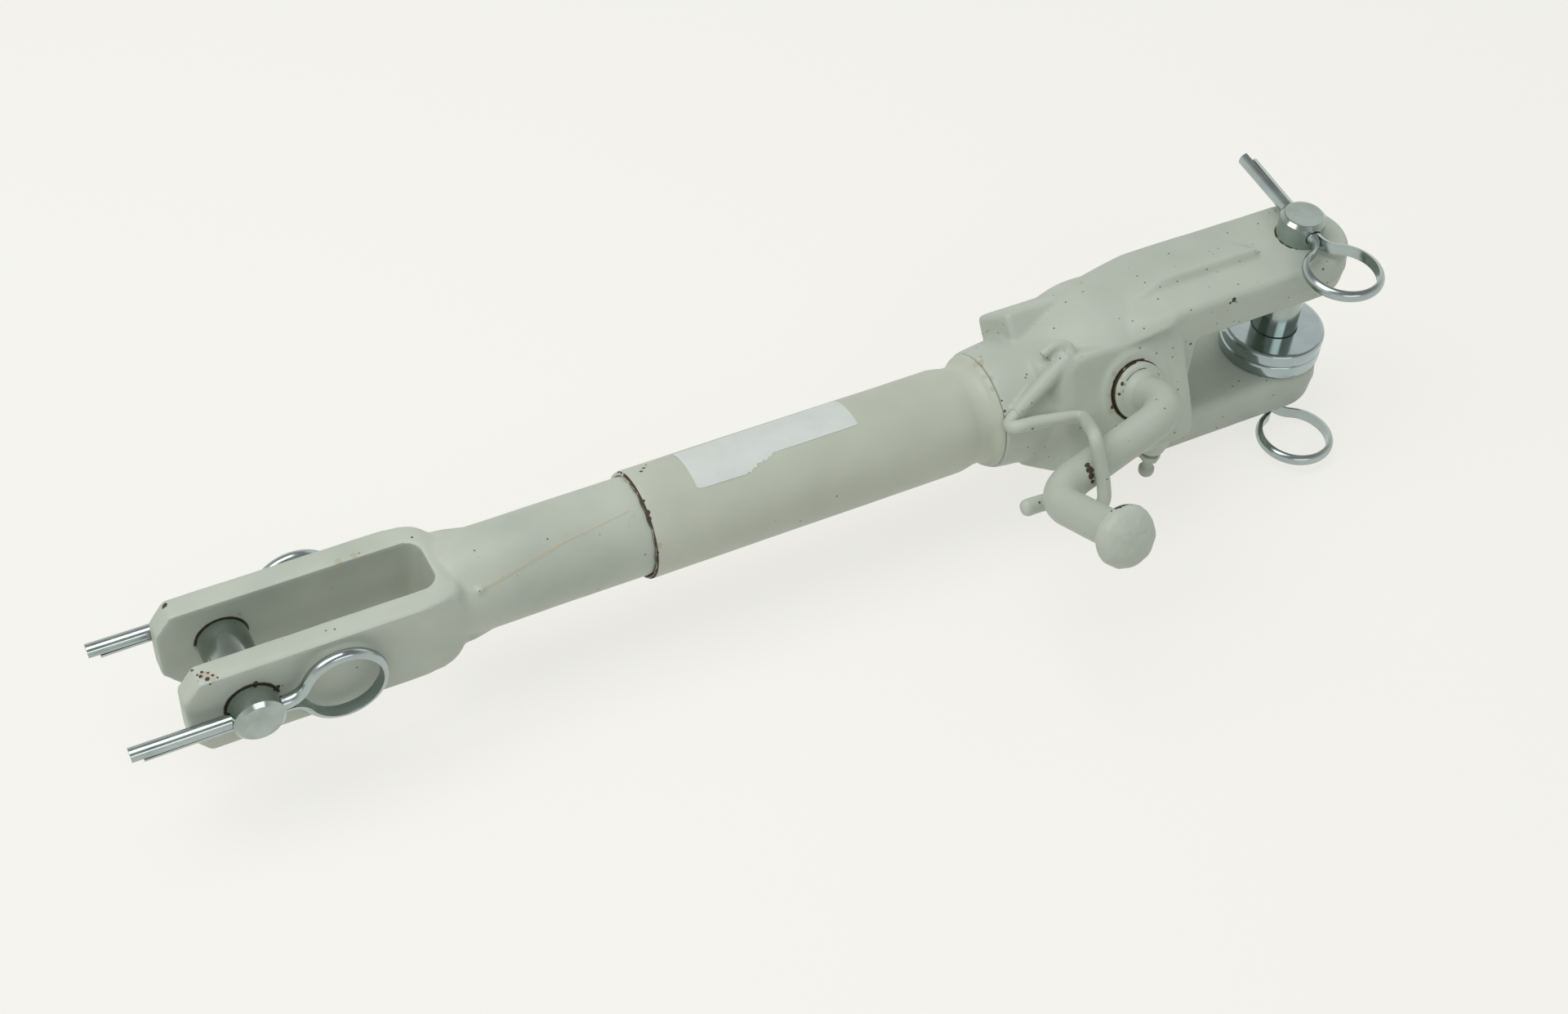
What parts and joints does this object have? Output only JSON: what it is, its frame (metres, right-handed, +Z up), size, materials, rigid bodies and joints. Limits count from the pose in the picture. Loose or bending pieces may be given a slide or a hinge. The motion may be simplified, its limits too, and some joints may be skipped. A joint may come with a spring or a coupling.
{
  "type": "tractor lift rod",
  "caption": "Linkage lift rod whose length is set by a crank, bevel gears and a screw, with a pinned clevis at each end and a wire latch.",
  "frame": {"origin": "centre of the upper pin on the rod's axis", "axes": "+X from the lower fork to the upper fork, +Z up along the upper pin, +Y away from the crank, along the lower pin"},
  "size_m": [0.6875, 0.2123, 0.1348],
  "materials": {
    "forging_paint": "satin",
    "tube_paint": "satin",
    "crank_paint": "satin",
    "nipple_paint": "satin",
    "plug_steel": "dull",
    "bronze": "machined",
    "bearing_steel": "ground and polished",
    "machined_steel": "machined, oiled",
    "zinc_pin": "bright zinc plate",
    "zinc_washer": "bright zinc plate, polished",
    "zinc_cotter": "bright zinc plate"
  },
  "bodies": {
    "housing": {"upper_fork": "forging_paint", "housing_plug": "plug_steel", "sleeve": "tube_paint", "grease_nipple": "nipple_paint", "pinion_bush": "bronze", "rear_bush": "bronze", "spindle_bush": "bronze", "fixed_race": "bearing_steel", "ball_cage": "bronze", "thrust_balls": "bearing_steel"},
    "spindle": {"turning_race": "bearing_steel", "screw_spindle": "machined_steel", "spindle_gear": "machined_steel", "spindle_nut": "machined_steel", "spindle_key": "machined_steel"},
    "crank": {"crank": "crank_paint", "crank_knob": "crank_paint", "bevel_pinion": "machined_steel", "pinion_pin": "machined_steel", "crank_washer": "machined_steel"},
    "fork": {"lower_fork": "forging_paint", "fork_nut": "bronze", "nut_pin": "machined_steel"},
    "latch": {"latch_wire": "crank_paint"},
    "upper_pin": {"upper_pin": "zinc_pin"},
    "washers": {"spacer_washer_top": "zinc_washer", "spacer_washer_base": "zinc_washer"},
    "top_cotter": {"top_cotter": "zinc_cotter"},
    "under_cotter": {"under_cotter": "zinc_cotter"},
    "lower_pin": {"lower_pin": "zinc_pin"},
    "front_cotter": {"front_cotter": "zinc_cotter"},
    "rear_cotter": {"rear_cotter": "zinc_cotter"}
  },
  "joints": [
    {"name": "crank_turn", "type": "hinge", "parent": "housing", "child": "crank", "pos_m": [-0.1235, 0, 0], "axis": [0, -0.8894, 0.4571], "range_deg": [-9360, 6480]},
    {"name": "spindle_spin", "type": "hinge", "parent": "housing", "child": "spindle", "pos_m": [-0.1235, 0, 0], "axis": [1, 0, 0], "range_deg": [-5616, 3888]},
    {"name": "fork_slide", "type": "slide", "parent": "housing", "child": "fork", "axis": [-1, 0, 0], "range_m": [-0.078, 0.054]},
    {"name": "latch_swing", "type": "hinge", "parent": "housing", "child": "latch", "pos_m": [-0.1945, -0.02817, 0.01695], "axis": [0.8211, 0.1739, 0.5437], "range_deg": [-110, 0], "deforming": ["latch_wire"]},
    {"name": "upper_pin_turn", "type": "hinge", "parent": "housing", "child": "upper_pin", "pos_m": [0, 0, 0], "axis": [0, 0, 1], "continuous": true},
    {"name": "washer_slide", "type": "slide", "parent": "upper_pin", "child": "washers", "axis": [0, 0, 1], "range_m": [0, 0.0375]},
    {"name": "top_cotter_pull", "type": "slide", "parent": "upper_pin", "child": "top_cotter", "axis": [-0.0872, -0.9962, 0], "range_m": [0, 0.08]},
    {"name": "under_cotter_pull", "type": "slide", "parent": "upper_pin", "child": "under_cotter", "axis": [-0.0872, -0.9962, 0], "range_m": [0, 0.08]},
    {"name": "lower_pin_turn", "type": "hinge", "parent": "fork", "child": "lower_pin", "pos_m": [-0.6, 0, 0], "axis": [0, 1, 0], "continuous": true},
    {"name": "front_cotter_pull", "type": "slide", "parent": "lower_pin", "child": "front_cotter", "axis": [1, 0, 0], "range_m": [0, 0.08]},
    {"name": "rear_cotter_pull", "type": "slide", "parent": "lower_pin", "child": "rear_cotter", "axis": [1, 0, 0], "range_m": [0, 0.08]}
  ],
  "couplings": [
    {"joint": "spindle_spin", "follows": "crank_turn", "ratio": 0.6},
    {"joint": "fork_slide", "follows": "crank_turn", "m_per_rad": 0.00047746}
  ]
}
